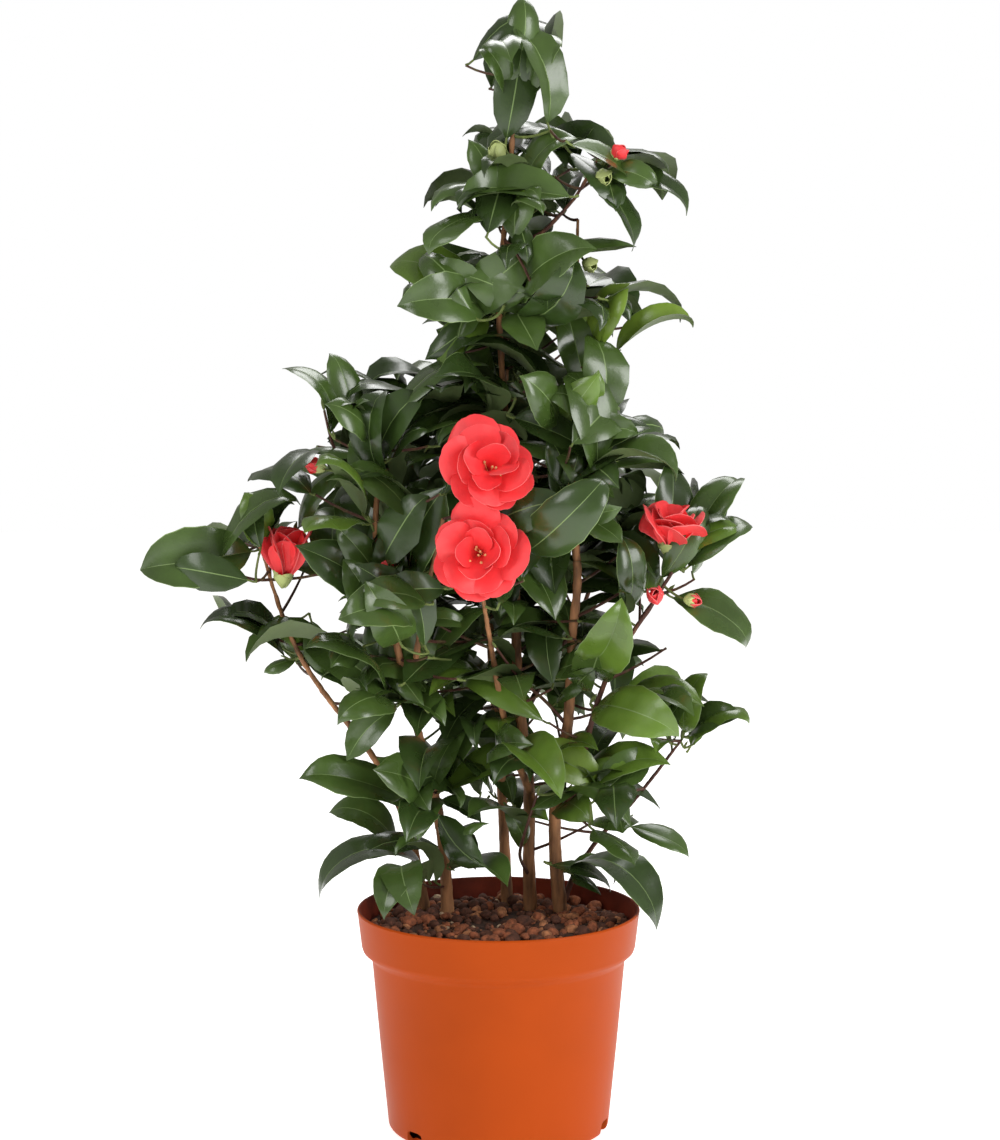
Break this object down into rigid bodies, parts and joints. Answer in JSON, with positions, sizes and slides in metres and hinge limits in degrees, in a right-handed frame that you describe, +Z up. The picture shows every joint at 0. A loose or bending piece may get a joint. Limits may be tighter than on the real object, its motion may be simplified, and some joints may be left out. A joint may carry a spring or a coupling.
{
  "type": "potted camellia shrub",
  "caption": "Camellia shrub with several upright stems, glossy toothed leaves and double coral-red blooms, standing in a round tapered plastic nursery pot.",
  "frame": {"origin": "centre of the pot's flat underside", "axes": "+Z up along the stems, +X to the plant's right seen from the front, +Y to its back"},
  "size_m": [0.5182, 0.3034, 0.9579],
  "materials": {
    "pot_plastic": "satin terracotta-coloured moulded plastic",
    "compost": "rough moist bark compost",
    "bark": "thin tan-brown fissured bark",
    "young_bark": "smooth red-brown young bark",
    "foliage": "glossy leathery evergreen leaf",
    "young_foliage": "glossy light green young leaf",
    "bloom": "soft satin petal"
  },
  "bodies": {
    "root": {"pot": "pot_plastic", "compost": "compost", "centre_stem": "bark", "east_stem": "bark", "west_stem": "bark", "far_west_stem": "bark", "far_east_stem": "young_bark", "back_stem": "bark", "west_bough": "bark", "front_bough": "bark", "east_bough": "young_bark", "upper_bough": "young_bark", "back_east_bough": "young_bark", "back_west_bough": "young_bark", "bloom_upper": "bloom", "bloom_lower": "bloom", "bloom_east": "bloom", "bloom_west": "bloom", "far_left_leaf": "foliage", "top_tuft": "foliage", "upper_ring": "foliage", "upper_east": "foliage", "collar": "foliage", "east_crest": "young_foliage", "mid_core_west": "foliage", "mid_core_east": "foliage", "mid_east": "foliage", "heart_centre": "foliage", "heart_east": "foliage", "heart_low": "foliage", "east_tip": "foliage", "east_droop": "foliage", "east_narrow": "foliage", "east_broad": "foliage", "east_shelf": "foliage", "south_east": "foliage", "far_east_leaf": "foliage", "south_centre": "young_foliage", "south_centre_low": "foliage", "rim_leaf_east": "foliage", "rim_leaf_west": "foliage", "upper_left_tip": "foliage", "left_crown": "foliage", "left_shoulder": "foliage", "left_outer": "foliage", "left_heart": "foliage", "left_fold": "foliage", "left_low": "foliage", "left_mid": "foliage", "west_foot": "foliage", "west_foot_outer": "foliage", "inner_mid": "foliage", "inner_low": "foliage", "back_high": "foliage", "back_crown": "foliage", "back_west": "foliage", "back_east": "foliage", "back_low_west": "foliage", "back_low_east": "foliage", "back_foot": "foliage"}
  },
  "joints": []
}
